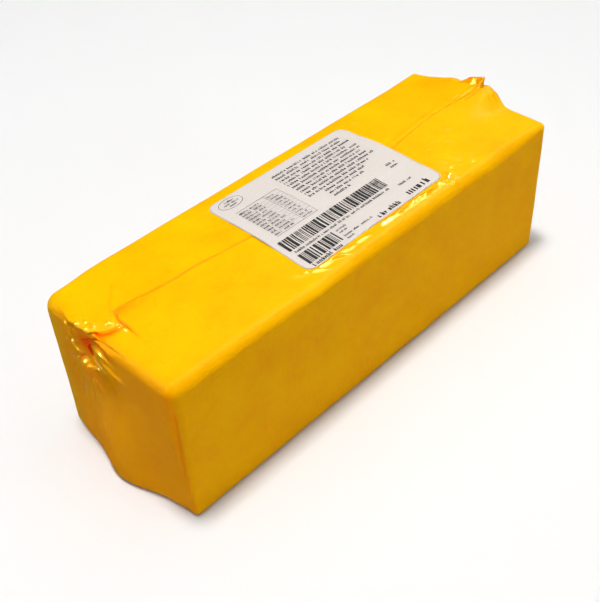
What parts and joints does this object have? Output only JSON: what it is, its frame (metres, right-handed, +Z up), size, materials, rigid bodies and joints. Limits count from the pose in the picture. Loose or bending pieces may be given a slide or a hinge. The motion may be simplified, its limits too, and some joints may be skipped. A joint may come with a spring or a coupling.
{
  "type": "film-wrapped gouda block",
  "caption": "Long loaf of gouda shut in glossy yellow shrink film, with a lap seam, a gathered end, a standing film tail and a printed paper label on top.",
  "frame": {"origin": "centre of the bounding box's bottom face, on the surface the loaf lies on", "axes": "+X along the loaf towards the film tail, -Y the front long side, +Z up"},
  "size_m": [0.3144, 0.1066, 0.1113],
  "materials": {
    "yellow_film": "glossy opaque yellow shrink film, tight over the cheese and creased at the gathers",
    "label_paper": "satin off-white label paper"
  },
  "bodies": {
    "root": {"wrapped_block": "yellow_film", "label": "label_paper"}
  },
  "joints": []
}
